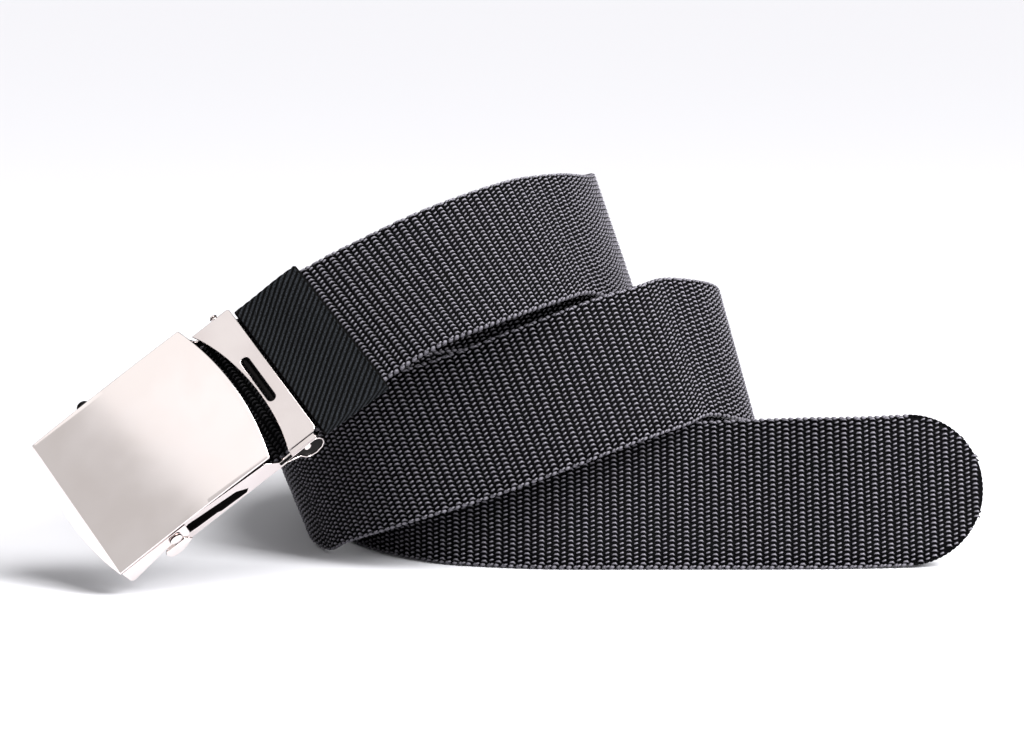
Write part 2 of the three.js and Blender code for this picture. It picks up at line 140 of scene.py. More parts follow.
def add_lamp(name, kind, place, aim, power, settings):
    data = bpy.data.lights.new(name, kind)
    data.energy = power
    for key, value in settings.items():
        setattr(data, key, value)
    lamp = bpy.data.objects.new(name, data)
    bpy.context.scene.collection.objects.link(lamp)
    lamp.location = place
    lamp.rotation_euler = (Vector(aim) - Vector(place)).to_track_quat("-Z", "Y").to_euler()


key_settings = {"angle": math.radians(40), "color": (1, 0.99, 0.985)}
add_lamp("key", "SUN", (0.55, -0.42, 1.1), (0, 0, 0), 3.45, key_settings)
box_settings = {"shape": "RECTANGLE", "size": 0.35, "size_y": 0.35}
add_lamp("side_box", "AREA", (0.6, -0.42, 0.45), (0.03, -0.03, 0.05), 13, box_settings)
buckle_middle = Vector((-0.085, -0.065, 0.04))
panel_distance = 1.5
panel_heading = math.radians(-48)
panel_height = math.radians(52)
panel_way = Vector(
    (
        math.sin(panel_heading) * math.cos(panel_height),
        -math.cos(panel_heading) * math.cos(panel_height),
        math.sin(panel_height),
    )
)
panel_settings = {"shape": "RECTANGLE", "size": 1.5, "size_y": 0.62}
panel_place = buckle_middle + panel_way * panel_distance
add_lamp("panel", "AREA", panel_place, buckle_middle, 1.42, panel_settings)


# Strap body. Black polypropylene webbing, 38 mm wide and 2 mm thick, woven as one long strip and
# rolled into a rising coil. This is the dark ground of the weave that shows in its holes.
mm = 0.001
webbing_width = 38 * mm
coil_span = 100 * mm
coil_offset = Vector((11.5774, -46.3577, 0.2142)) * mm
ground_thickness = 1.3 * mm
strap_samples = 1600
same_point = 0.0001

# Each row: lower edge x and y as shares of the coil span, rise as a share of the width, and the
# x and y parts of the width's direction, from the free tip to the buckle
strap_route = np.array(
    [
        (1.072, 0.038, 0.03, -0.05, 0.1),
        (0.75, 0.012, 0, -0.03, 0.13),
        (0.55, 0.002, 0, -0.01, 0.27),
        (0.38, 0, 0, 0, 0.37),
        (0.2, 0, 0, 0, 0.42),
        (-0.02, 0.002, 0, 0, 0.4),
        (-0.17, 0.03, 0, 0, 0.37),
        (-0.3, 0.078, 0, 0, 0.33),
        (-0.447, 0.225, 0, 0, 0.22),
        (-0.545, 0.42, 0, -0.02, 0.1),
        (-0.59, 0.66, 0, -0.06, 0),
        (-0.52, 0.93, 0.02, -0.12, -0.08),
        (-0.28, 1.13, 0.08, -0.18, -0.12),
        (0.05, 1.15, 0.17, -0.22, -0.1),
        (0.33, 0.98, 0.32, -0.24, 0),
        (0.487, 0.72, 0.54, -0.25, 0.12),
        (0.511, 0.45, 0.76, -0.26, 0.22),
        (0.461, 0.27, 0.88, -0.28, 0.28),
        (0.372, 0.148, 0.955, -0.31, 0.35),
        (0.325, 0.085, 0.925, -0.325, 0.3),
        (0.2, 0, 0.845, -0.345, 0.27),
        (0.05, -0.055, 0.715, -0.36, 0.29),
        (-0.15, -0.075, 0.525, -0.365, 0.33),
        (-0.38, -0.035, 0.315, -0.37, 0.31),
        (-0.53, 0.1, 0.13, -0.37, 0.22),
        (-0.577, 0.2, 0.03, -0.37, 0.15),
        (-0.622, 0.34, 0.01, -0.37, 0.08),
        (-0.645, 0.58, 0.01, -0.37, -0.04),
        (-0.59, 0.93, 0.2, -0.38, -0.18),
        (-0.34, 1.22, 0.62, -0.38, -0.2),
        (-0.02, 1.27, 1.04, -0.38, -0.15),
        (0.17, 1.06, 1.37, -0.36, 0.02),
        (0.21, 0.76, 1.5, -0.32, 0.24),
        (0.19, 0.46, 1.595, -0.31, 0.4),
        (0.13, 0.22, 1.72, -0.34, 0.505),
        (0.067, 0.11, 1.785, -0.37, 0.58),
        (0.003, 0.02, 1.765, -0.41, 0.552),
        (-0.161, -0.135, 1.665, -0.47, 0.555),
        (-0.3, -0.208, 1.54, -0.525, 0.575),
        (-0.3985, -0.227, 1.384, -0.555, 0.53),
        (-0.561, -0.239, 1.076, -0.555, 0.53),
        (-0.739, -0.258, 0.714, -0.555, 0.53),
    ]
)


def smooth_way(points, shares):
    """Centripetal curve through points, read at shares of its number of steps"""
    ends = [2 * points[0] - points[1], *points, 2 * points[-1] - points[-2]]
    read = []
    for share in shares:
        place = share * (len(points) - 1)
        step = min(int(place), len(points) - 2)
        w = place - step
        p0, p1, p2, p3 = ends[step : step + 4]
        d0, d1, d2 = (np.sum((b - a) ** 2) ** 0.25 for a, b in ((p0, p1), (p1, p2), (p2, p3)))
        d1 = d1 if d1 > same_point else 1.0
        d0 = d0 if d0 > same_point else d1
        d2 = d2 if d2 > same_point else d1
        t1 = ((p1 - p0) / d0 - (p2 - p0) / (d0 + d1) + (p2 - p1) / d1) * d1
        t2 = ((p2 - p1) / d1 - (p3 - p1) / (d1 + d2) + (p3 - p2) / d2) * d1
        cube = 2 * p1 - 2 * p2 + t1 + t2
        square = -3 * p1 + 3 * p2 - 2 * t1 - t2
        read.append(p1 + t1 * w + square * w * w + cube * w**3)
    return np.array(read)


def unit(rows):
    return rows / np.linalg.norm(rows, axis=1)[:, None]


shares = np.linspace(0, 1, strap_samples + 1)
edge_points = strap_route[:, :3] * [coil_span, coil_span, webbing_width]
lean = strap_route[:, 3:]
lean_points = np.c_[lean, np.sqrt(1 - np.sum(lean**2, axis=1))]
strap_across = unit(smooth_way(lean_points, shares))
strap_middle = smooth_way(edge_points, shares) + strap_across * webbing_width / 2
strap_middle += np.array(coil_offset)
steps = np.linalg.norm(np.diff(strap_middle, axis=0), axis=1)
strap_at = np.concatenate([[0], np.cumsum(steps)])
strap_length = strap_at[-1]
strap_way = unit(np.gradient(strap_middle, axis=0))
strap_out = unit(np.cross(strap_across, strap_way))


def on_strap(along, across, out):
    """Points of the coil from distance along the strap, across its width and out of its face"""
    parts = []
    for k in range(3):
        middle = np.interp(along, strap_at, strap_middle[:, k])
        over = np.interp(along, strap_at, strap_across[:, k])
        away = np.interp(along, strap_at, strap_out[:, k])
        parts.append(middle + over * across + away * out)
    return np.stack(parts, axis=-1)


def tip_share(along):
    """Share of the full width that the rounded tip has at a distance from its end"""
    inside = np.clip(along / (webbing_width / 2), 0, 1)
    return np.sqrt(1 - (1 - inside) ** 2)


# Black polypropylene yarn: the floats' crests are a painted grey highlight, their sides painted
# shade.
# Its filaments are a few hundredths of a millimetre, too fine to show: drawn at 0.2 mm.
webbing, tree = new_material("woven_polypropylene")
place = add_node(tree, "ShaderNodeTexCoord")
crest = add_node(tree, "ShaderNodeAttribute", {"attribute_name": "crest"})
mottle = add_node(
    tree, "ShaderNodeTexNoise", None, {"Vector": (place, "Object"), "Scale": 420, "Detail": 3}
)
uneven = add_node(
    tree,
    "ShaderNodeMapRange",
    None,
    {"Value": (mottle, "Fac"), "From Min": 0.25, "From Max": 0.75, "To Min": 0.75, "To Max": 1.1},
)
# Crest share times a random mottle: painted highlight on the crests, painted shade on the sides
painted_crest_shading = add_node(
    tree, "ShaderNodeMath", {"operation": "MULTIPLY"}, {0: (crest, "Fac"), 1: (uneven, "Result")}
)
tone = add_node(tree, "ShaderNodeValToRGB", None, {"Fac": (painted_crest_shading, "Value")})
tone.color_ramp.elements[0].color = linear("#0B0B0C")
tone.color_ramp.elements[0].position = 0.05
tone.color_ramp.elements[1].color = linear("#86838C")
tone.color_ramp.elements[1].position = 1.0
strands = add_node(
    tree, "ShaderNodeTexNoise", None, {"Vector": (place, "Object"), "Scale": 5200, "Detail": 2}
)
grain = add_node(
    tree,
    "ShaderNodeBump",
    None,
    {"Height": (strands, "Fac"), "Strength": 0.35, "Distance": 0.00006},
)
shader = add_node(
    tree,
    "ShaderNodeBsdfPrincipled",
    None,
    {
        "Base Color": (tone, "Color"),
        "Roughness": 0.36,
        "IOR": 1.49,
        "Specular IOR Level": 0.16,
        "Normal": (grain, "Normal"),
    },
)
finish_material(tree, shader)

# Black core under the floats, also the melted tip rim: drawn darker than the yarn, near black, as
# painted shade so the weave's holes read dark
ground, tree = new_material("webbing_ground")
place = add_node(tree, "ShaderNodeTexCoord")
lint = add_node(
    tree, "ShaderNodeTexNoise", None, {"Vector": (place, "Object"), "Scale": 1500, "Detail": 2}
)
grain = add_node(
    tree, "ShaderNodeBump", None, {"Height": (lint, "Fac"), "Strength": 0.5, "Distance": 0.0002}
)
shader = add_node(
    tree,
    "ShaderNodeBsdfPrincipled",
    None,
    {
        "Base Color": linear("#060607"),
        "Roughness": 0.8,
        "IOR": 1.49,
        "Specular IOR Level": 0.03,
        "Normal": (grain, "Normal"),
    },
)
finish_material(tree, shader)

ground_inset = 0.35 * mm
tip_part = 0.02
edge_part = 0.49
edge_thinning = 0.35
bm = bmesh.new()
bmesh.ops.create_grid(bm, x_segments=360, y_segments=8, size=0.5)
bmesh.ops.solidify(bm, geom=bm.faces[:], thickness=1.0)
low = min(v.co.z for v in bm.verts)
laid = np.array([(v.co.x + 0.5, v.co.y, v.co.z - low - 0.5) for v in bm.verts])
along = ground_inset + laid[:, 0] * (strap_length - ground_inset)
near_tip = ground_inset + (laid[:, 0] / tip_part) ** 2 * tip_part * strap_length
along = np.where(laid[:, 0] < tip_part, near_tip, along)
wide = (webbing_width - 2 * ground_inset) * tip_share(along)
thick = ground_thickness * (1 - edge_thinning * (np.abs(laid[:, 1]) > edge_part))
for vertex, co in zip(bm.verts, on_strap(along, laid[:, 1] * wide, laid[:, 2] * thick)):
    vertex.co = co
bmesh.ops.recalc_face_normals(bm, faces=bm.faces)
strap_mesh = bpy.data.meshes.new("strap_ground")
bm.to_mesh(strap_mesh)
bm.free()
strap_mesh.polygons.foreach_set("use_smooth", [True] * len(strap_mesh.polygons))
strap_ground = put_in_scene("strap_ground", strap_mesh, ground)
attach(strap_ground, "belt")
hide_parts("webbing_strap")


# Warp yarns. Each of the 32 yarns across the strap shows as a short float and a longer arched one
# in every repeat of the weave, 3.63 mm long, with a dark hole under the arch.
repeat_length = 3.63 * mm
yarn_rows = 32
hidden_end = 20.2 * mm
# Share of the crests' painted light left on floats inside the buckle: painted shade there
buckle_painted_shade = 0.2
row_pitch = 1.165 * mm
row_shift = 0.62
yarn_radius = 0.33 * mm
yarn_shake = 0.035 * mm
shake_limit = 0.04 * mm
tip_margin = 0.75 * mm
edge_margin = 0.35 * mm
cut_margin = 0.5 * mm
crest_low, crest_span = 0.82, 0.4
jitter = np.random.default_rng(7)


def spindle_shape(sides, rings):
    """A closed spindle along z: its points and faces"""
    spindle = bmesh.new()
    bmesh.ops.create_uvsphere(spindle, u_segments=sides, v_segments=rings, radius=1)
    spindle.verts.index_update()
    points = np.array([v.co for v in spindle.verts])
    faces = [[v.index for v in f.verts] for f in spindle.faces]
    spindle.free()
    return points, faces


def keep_share(mesh, name, values):
    share = mesh.attributes.new(name, "FLOAT", "POINT")
    share.data.foreach_set("value", values.astype(np.float32).ravel())


def repeated_mesh(name, points, faces):
    """One mesh of many copies; points is copies by vertices by three"""
    copies, each = points.shape[:2]
    sizes = np.array([len(f) for f in faces])
    corners = np.concatenate([np.array(f) for f in faces])
    loops = (corners[None, :] + each * np.arange(copies)[:, None]).ravel()
    totals = np.tile(sizes, copies)
    mesh = bpy.data.meshes.new(name)
    mesh.vertices.add(copies * each)
    mesh.vertices.foreach_set("co", points.astype(np.float32).ravel())
    mesh.loops.add(len(loops))
    mesh.loops.foreach_set("vertex_index", loops.astype(np.int32))
    mesh.polygons.add(len(totals))
    mesh.polygons.foreach_set("loop_start", (np.cumsum(totals) - totals).astype(np.int32))
    mesh.polygons.foreach_set("use_smooth", np.ones(len(totals), bool))
    mesh.update(calc_edges=True)
    return mesh


# Floats of one repeat, seen from outside: share of the repeat to the right, share of a row up, and
# height of the yarn's middle in millimetres, at five even steps
arched_float = np.array(
    [
        (0.16, -0.28, 0.5),
        (0.28, 0.08, 0.8),
        (0.42, 0.24, 0.92),
        (0.56, 0.1, 0.88),
        (0.7, -0.4, 0.5),
    ]
)
short_float = np.array(
    [
        (0.72, -0.7, 0.5),
        (0.82, -0.62, 0.84),
        (0.92, -0.52, 0.94),
        (1.02, -0.41, 0.86),
        (1.12, -0.32, 0.5),
    ]
)


def laid_floats(name, float_way, rings, first, last, side):
    """Every float of one kind on one face of the strap, from repeat first to repeat last"""
    points, faces = spindle_shape(4, rings)
    run = (1 - points[:, 2]) / 2
    steps = np.linspace(0, 1, 5)
    way = [np.interp(run, steps, float_way[:, k]) for k in range(3)]
    ahead = [np.interp(run + 0.05, steps, float_way[:, k]) for k in range(2)]
    behind = [np.interp(run - 0.05, steps, float_way[:, k]) for k in range(2)]
    turn = np.stack(
        [(ahead[0] - behind[0]) * repeat_length, (ahead[1] - behind[1]) * row_pitch], axis=-1
    )
    turn = unit(turn)
    local_u = way[0] * repeat_length - turn[:, 1] * points[:, 0] * yarn_radius
    local_v = way[1] * row_pitch + turn[:, 0] * points[:, 0] * yarn_radius
    local_h = way[2] * mm + points[:, 1] * yarn_radius
    repeats, rows = np.meshgrid(np.arange(first, last), np.arange(yarn_rows), indexing="ij")
    start = repeats.ravel() * repeat_length
    level = (rows.ravel() + row_shift - yarn_rows / 2) * row_pitch
    shake = jitter.normal(0, yarn_shake, (3, len(start)))
    along = start[:, None] + shake[0][:, None] - side * local_u[None, :]
    across = level[:, None] + shake[1][:, None] + local_v[None, :]
    out = side * (local_h[None, :] + np.minimum(shake[2], shake_limit)[:, None])
    half_width = webbing_width / 2
    edge = half_width * tip_share(along.mean(axis=1)) - tip_margin
    edge = np.where(along.mean(axis=1) < half_width, edge, half_width - edge_margin)
    fits = (np.abs(across.mean(axis=1)) < edge) & (along.min(axis=1) > cut_margin)
    fits &= along.max(axis=1) < strap_length
    mesh = repeated_mesh(name, on_strap(along[fits], across[fits], out[fits]), faces)
    # The crest share lightens each float's top and darkens its sides: painted highlight and
    # painted shade
    crest = np.clip((local_h / mm - crest_low) / crest_span, 0, 1)
    # Inside the buckle the floats are darkened further, as painted shade
    crest = crest * np.where(along[fits] > strap_length - hidden_end, buckle_painted_shade, 1)
    keep_share(mesh, "crest", crest)
    return mesh


def joined(name, meshes):
    whole = bmesh.new()
    for mesh in meshes:
        whole.from_mesh(mesh)
        bpy.data.meshes.remove(mesh)
    mesh = bpy.data.meshes.new(name)
    whole.to_mesh(mesh)
    whole.free()
    return mesh


repeats = int(strap_length / repeat_length)
stretches = [(0, 62), (62, 124), (124, 186), (186, repeats + 1)]
for side, word in ((1, "outer"), (-1, "inner")):
    for number, (first, last) in enumerate(stretches):
        name = f"weave_{word}_{number + 1}"
        mesh = joined(
            name,
            [
                laid_floats("arched", arched_float, 5, first, last, side),
                laid_floats("short", short_float, 3, first, last, side),
            ],
        )
        weave = put_in_scene(name, mesh, webbing)
        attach(weave, "belt")


# Selvedges. The weft turns round the outermost yarns twice in each repeat and draws the edge into
# a row of small knuckles. At the cut tip the ends are melted into a thin lumpy rim.
def beads(name, along, across, radii, turned):
    """Small closed ovals; radii are along, out and across, turned is each oval's tilt"""
    points, faces = spindle_shape(6, 5)
    local = points * np.array(radii)
    cos, sin = np.cos(turned)[:, None], np.sin(turned)[:, None]
    u = along[:, None] + local[None, :, 0] * cos - local[None, :, 2] * sin
    v = across[:, None] + local[None, :, 0] * sin + local[None, :, 2] * cos
    mesh = repeated_mesh(name, on_strap(u, v, np.broadcast_to(local[:, 1], u.shape)), faces)
    # The crest share paints the ovals lighter on their outer and inner faces and darker round
    # their sides: painted highlight and painted shade
    keep_share(mesh, "crest", np.broadcast_to(0.25 + 0.45 * np.abs(points[:, 1]), u.shape))
    return mesh


knuckle_pitch = repeat_length / 2
knuckle_at = np.arange(webbing_width / 2, strap_length - knuckle_pitch, knuckle_pitch)
for sign, word in ((1, "upper"), (-1, "lower")):
    shake = jitter.normal(0, 0.06 * mm, len(knuckle_at))
    mesh = beads(
        f"selvedge_{word}",
        knuckle_at + shake,
        np.full(len(knuckle_at), sign * (webbing_width / 2 - 0.42 * mm)) + shake * 0.3,
        (0.8 * mm, 0.86 * mm, 0.46 * mm),
        sign * np.full(len(knuckle_at), 0.12),
    )
    selvedge = put_in_scene(f"selvedge_{word}", mesh, webbing)
    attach(selvedge, "belt")

tip_bends = np.linspace(-math.pi / 2, math.pi / 2, 46)[1:-1]
tip_radius = webbing_width / 2 - 0.45 * mm
mesh = beads(
    "sealed_tip",
    webbing_width / 2 - np.cos(tip_bends) * tip_radius,
    np.sin(tip_bends) * tip_radius,
    (0.5 * mm, 0.8 * mm, 0.85 * mm),
    -tip_bends,
)
sealed_tip = put_in_scene("sealed_tip", mesh, ground)
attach(sealed_tip, "belt")


# Keeper. A sleeve of narrow black cotton twill sewn into a loop, pushed up against the buckle. Its
# steep ribs are drawn in the mesh, and its open end is turned under into a crisp fold.
keeper_length = 18.2 * mm
keeper_end = strap_length - 20.4 * mm
keeper_wall = 1 * mm
keeper_half_out = 2.3 * mm
keeper_reach = (-20.8 * mm, 20.4 * mm)
keeper_corner = 1.3 * mm
rib_pitch = 1.28 * mm
rib_along, rib_around = 0.596, 0.803
rib_height = 0.17 * mm
fold_length = 0.7 * mm
fold_height = 0.1 * mm
around_steps = 420
along_steps = 84


def rounded_loop(low, high, half, corner, steps):
    """Points and outward directions round a box with rounded corners, and the way round so far"""
    points, facing = [], []
    middles = ((high - corner, half - corner), (low + corner, half - corner))
    middles += ((low + corner, corner - half), (high - corner, corner - half))
    for k, (cx, cy) in enumerate(middles):
        for bend in np.linspace(k * math.pi / 2, (k + 1) * math.pi / 2, 24):
            facing.append((math.cos(bend), math.sin(bend)))
            points.append((cx + corner * facing[-1][0], cy + corner * facing[-1][1]))
    points, facing = np.array(points + points[:1]), np.array(facing + facing[:1])
    far = np.concatenate([[0], np.cumsum(np.linalg.norm(np.diff(points, axis=0), axis=1))])
    at = np.linspace(0, far[-1], steps, endpoint=False)
    read = [np.interp(at, far, rows[:, k]) for rows in (points, facing) for k in range(2)]
    return np.stack(read[:2], axis=-1), np.stack(read[2:], axis=-1), at, far[-1]


loop, facing, at, loop_way = rounded_loop(
    *keeper_reach, keeper_half_out, keeper_corner, around_steps
)
turns_round = round(rib_around * loop_way / rib_pitch)
face_run = np.linspace(0, 1, along_steps)
end_bend = np.linspace(0, math.pi, 7)[1:-1]
lips = np.sin(end_bend) * keeper_wall / 2
falls = (1 - np.cos(end_bend)) * keeper_wall / 2
wall_run = np.concatenate(
    [face_run * keeper_length, keeper_length + lips, face_run[::-12] * keeper_length, -lips]
)
wall_depth = np.concatenate(
    [0 * face_run, falls, 0 * face_run[::-12] + keeper_wall, keeper_wall - falls]
)
outer_face = np.arange(len(wall_run)) < along_steps
ribs = np.abs(
    np.sin(
        math.pi
        * (wall_run[:, None] * rib_along / rib_pitch - at[None, :] * turns_round / loop_way)
    )
)
relief = np.where(outer_face[:, None], (ribs - 1) * rib_height, 0)
fold = np.clip(1 - wall_run / fold_length, 0, 1) * outer_face
relief = relief * (1 - fold[:, None]) + fold[:, None] * fold_height
depth = relief - wall_depth[:, None]
across = loop[None, :, 0] + facing[None, :, 0] * depth
out = loop[None, :, 1] + facing[None, :, 1] * depth
along = np.broadcast_to((keeper_end - keeper_length + wall_run)[:, None], across.shape)
rings = len(wall_run)
ring_next = (np.arange(rings)[:, None] + 1) % rings * around_steps
step_next = (np.arange(around_steps)[None, :] + 1) % around_steps
ring_here = np.arange(rings)[:, None] * around_steps
step_here = np.arange(around_steps)[None, :]
keeper_faces = np.stack(
    [ring_here + step_here, ring_here + step_next, ring_next + step_next, ring_next + step_here],
    axis=-1,
).reshape(-1, 4)
keeper_points = on_strap(along, across, out).reshape(1, -1, 3)
keeper_mesh = repeated_mesh("keeper_twill", keeper_points, keeper_faces.tolist())
keeper_uv = keeper_mesh.uv_layers.new(name="twill_mm")
corner_points = keeper_faces.ravel()
# The rib share paints the twill's crests lighter and its grooves black: painted highlight and
# painted shade
keep_share(keeper_mesh, "rib", ribs * outer_face[:, None])
keeper_uv.uv.foreach_set(
    "vector",
    np.stack(
        [
            np.repeat(wall_run, around_steps)[corner_points] / mm,
            np.tile(at, rings)[corner_points] / mm,
        ],
        axis=-1,
    )
    .astype(np.float32)
    .ravel(),
)

# Black cotton twill: the ribs are painted lighter over black grooves, as painted highlight and
# painted shade, with threads of about 0.3 mm across them
twill, tree = new_material("black_cotton_twill")
flat = add_node(tree, "ShaderNodeUVMap", {"uv_map": "twill_mm"})
threads = add_node(
    tree,
    "ShaderNodeTexNoise",
    {"noise_dimensions": "2D"},
    {"Vector": (flat, "UV"), "Scale": 3.2, "Detail": 3},
)
rib = add_node(tree, "ShaderNodeAttribute", {"attribute_name": "rib"})
painted_crest_shading = add_node(
    tree, "ShaderNodeMath", {"operation": "MULTIPLY"}, {0: (rib, "Fac"), 1: (threads, "Fac")}
)
tone = add_node(tree, "ShaderNodeValToRGB", None, {"Fac": (painted_crest_shading, "Value")})
tone.color_ramp.elements[0].color = linear("#020202")
tone.color_ramp.elements[0].position = 0.26
tone.color_ramp.elements[1].color = linear("#303337")
tone.color_ramp.elements[1].position = 0.7
grain = add_node(
    tree,
    "ShaderNodeBump",
    None,
    {"Height": (threads, "Fac"), "Strength": 0.6, "Distance": 0.00015},
)
shader = add_node(
    tree,
    "ShaderNodeBsdfPrincipled",
    None,
    {
        "Base Color": (tone, "Color"),
        "Roughness": 0.8,
        "Specular IOR Level": 0.05,
        "Normal": (grain, "Normal"),
    },
)
finish_material(tree, shader)
keeper = put_in_scene("keeper_twill", keeper_mesh, twill)
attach(keeper, "belt")
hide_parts("keeper_loop")


# Buckle frame. Steel sheet folded into a channel round the end of the strap, nickel plated outside
# in the darker nickel copy, with the inside of the channel, the window rims and the eye painted
# near black as shade. A long window opens each wall, and an eye-shaped loop stands round the near
# end of the jaw's rivet. Buckle lengths are plain millimetres.
edge_round = 0.14
hard_angle = math.radians(40)
sheet = 0.6
frame_length = 45.2
wall_height = 8.6
wall_inner = 19.9
ear_round = 1.7
pin_x, pin_z = 1.7, 6.9
jaw_pin_x, jaw_pin_z = 40.3, 5.3
buckle_x = Vector(-strap_way[-1])
buckle_z = Vector(strap_out[-1])
buckle_y = buckle_z.cross(buckle_x)
buckle_turn = np.array([buckle_x, buckle_y, buckle_z])
buckle_corner = Vector(strap_middle[-1]) / mm
buckle_corner += buckle_x * (20 - frame_length) + buckle_y * 0.6 - buckle_z * 1.9


def on_buckle(points):
    """Buckle millimetres to the scene: x towards the webbing, y across, z out of its face"""
    return (np.asarray(points) @ buckle_turn + np.array(buckle_corner)) * mm


def edged_plate(axes, outlines, low, high):
    """A flat plate with rounded rims. axes names its two drawn directions, and low and high are
    its faces along the third; outlines after the first are holes."""
    curve = bpy.data.curves.new("outline", "CURVE")
    curve.dimensions = "2D"
    curve.fill_mode = "BOTH"
    curve.extrude = (high - low) / 2 - edge_round
    curve.bevel_depth = edge_round
    curve.bevel_resolution = 2
    curve.offset = -edge_round
    for outline in outlines:
        spline = curve.splines.new("POLY")
        spline.points.add(len(outline) - 1)
        spline.points.foreach_set("co", [c for x, y in outline for c in (x, y, 0, 1)])
        spline.use_cyclic_u = True
    holder = bpy.data.objects.new("outline", curve)
    bpy.context.scene.collection.objects.link(holder)
    graph = bpy.context.evaluated_depsgraph_get()
    mesh = bpy.data.meshes.new_from_object(holder.evaluated_get(graph))
    bpy.data.objects.remove(holder)
    bpy.data.curves.remove(curve)
    form = bmesh.new()
    form.from_mesh(mesh)
    bmesh.ops.remove_doubles(form, verts=form.verts, dist=0.001)
    drawn = np.array([v.co for v in form.verts])
    placed = np.zeros_like(drawn)
    placed[:, "xyz".index(axes[0])] = drawn[:, 0]
    placed[:, "xyz".index(axes[1])] = drawn[:, 1]
    placed[:, 3 - "xyz".index(axes[0]) - "xyz".index(axes[1])] = drawn[:, 2] + (low + high) / 2
    for vertex, co in zip(form.verts, on_buckle(placed)):
        vertex.co = co
    bmesh.ops.recalc_face_normals(form, faces=form.faces)
    form.to_mesh(mesh)
    form.free()
    return mesh


def arc_points(x, y, radius, start, stop, steps=14):
    bends = np.radians(np.linspace(start, stop, steps))
    return [(x + radius * math.cos(b), y + radius * math.sin(b)) for b in bends]


def capsule(x, y, length, height):
    half = (length - height) / 2
    left_end = arc_points(x - half, y, height / 2, 90, 270)
    return left_end + arc_points(x + half, y, height / 2, -90, 90)


def metal_piece(name, parts, body, node_name, plating, inside=None):
    """Joins the plated parts into one piece. Faces square to the buckle are flat mirrors; inside
    tells which faces get the near-black painted-shade steel, from their middle and normal"""
    mesh = joined(name, parts)
    mesh.set_sharp_from_angle(angle=hard_angle)
    for face in mesh.polygons:
        face.use_smooth = np.abs(buckle_turn @ np.array(face.normal)).max() < 0.99999
    piece = put_in_scene(name, mesh, plating)
    if inside:
        mesh.materials.append(painted_shade_steel)
        for face in mesh.polygons:
            middle = buckle_turn @ (np.array(face.center) / mm - np.array(buckle_corner))
            if inside(middle, buckle_turn @ np.array(face.normal)):
                face.material_index = 1
    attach(piece, body)
    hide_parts(node_name)
    return piece


# Bright nickel plate: a clean, faintly warm mirror with soft smears
nickel, tree = new_material("bright_nickel")
place = add_node(tree, "ShaderNodeTexCoord")
smears = add_node(
    tree, "ShaderNodeTexNoise", None, {"Vector": (place, "Object"), "Scale": 60, "Detail": 4}
)
tone = add_node(tree, "ShaderNodeValToRGB", None, {"Fac": (smears, "Fac")})
tone.color_ramp.elements[0].color = linear("#F0E6E3")
tone.color_ramp.elements[0].position = 0.35
tone.color_ramp.elements[1].color = linear("#F6EDEB")
tone.color_ramp.elements[1].position = 0.65
gloss = add_node(
    tree,
    "ShaderNodeMapRange",
    None,
    {"Value": (smears, "Fac"), "From Min": 0.3, "From Max": 0.7, "To Min": 0.08, "To Max": 0.13},
)
shader = add_node(
    tree,
    "ShaderNodeBsdfPrincipled",
    None,
    {"Base Color": (tone, "Color"), "Metallic": 1.0, "Roughness": (gloss, "Result")},
)
finish_material(tree, shader)

# The frame and the jaw take a copy of the nickel painted a shade darker than the cover's: painted
# shade
shaded_nickel = nickel.copy()
shaded_nickel.name = "nickel_painted_darker"
tone = next(n for n in shaded_nickel.node_tree.nodes if n.bl_idname == "ShaderNodeValToRGB")
tone.color_ramp.elements[0].color = linear("#D9CFCD")
tone.color_ramp.elements[1].color = linear("#E2D9D7")

# Near-black steel as painted shade: it stands for the shade in the buckle, its windows, the eye
# and behind the jaw's rivet
painted_shade_steel, tree = new_material("black_painted_shade")
place = add_node(tree, "ShaderNodeTexCoord")
stain = add_node(
    tree, "ShaderNodeTexNoise", None, {"Vector": (place, "Object"), "Scale": 700, "Detail": 4}
)
tone = add_node(tree, "ShaderNodeValToRGB", None, {"Fac": (stain, "Fac")})
tone.color_ramp.elements[0].color = linear("#040303")
tone.color_ramp.elements[1].color = linear("#0B0909")
shader = add_node(
    tree,
    "ShaderNodeBsdfPrincipled",
    None,
    {"Base Color": (tone, "Color"), "Roughness": 0.6, "Specular IOR Level": 0.1},
)
finish_material(tree, shader)

foot_end = 43.4
cut_down = 2.5
floor_half_width = 20.2
wall_foot = [(0.3, 0), (foot_end, 0), (foot_end, cut_down)]
wall_foot += arc_points(jaw_pin_x, jaw_pin_z, 0.9, -30, 210) + [(jaw_pin_x - 1, cut_down)]
near_wall = wall_foot + [(32.3, cut_down), (29.6, 6.6), (5, wall_height)]
far_wall = wall_foot + [(33.2, cut_down), (32, 6.5), (5, wall_height)]
outer_corner = arc_points(ear_round, wall_height - ear_round, ear_round, 90, 180)
window = [(4.4, 2.8), (4.7, 6.1), (6.1, 6.8), (19.8, 4.7), (22.6, 2.2), (21.6, 0.9), (14, 1.4)]
window += [(13.2, 2.0), (7, 2.4)]
rivet_hole = arc_points(pin_x, pin_z, 1.3, 0, 342, 20)
floor_outline = [(0, -floor_half_width), (foot_end, -floor_half_width), (frame_length, -18.4)]
floor_outline += [(frame_length, 18.4), (foot_end, floor_half_width), (0, floor_half_width)]
eye_outer = [(32.4, 6.7), (35, 5.2), (37.4, 3.9), (38.1, 1.9), (39, 0.8), (41, 0.3), (43.0, 1.0)]
eye_outer += [(44.1, 2.4), (44.4, 4.2), (43.9, 5.8), (42.9, 6.8), (36, 6.8)]
eye_inner = [(33.6, 6.4), (35.2, 5.5), (37.7, 4.2), (38.4, 2.1), (39.2, 1.2), (41, 0.7)]
eye_inner += [(42.8, 1.3), (43.7, 2.6), (44.0, 4.2), (43.5, 5.6), (42.7, 6.4), (36, 6.4)]
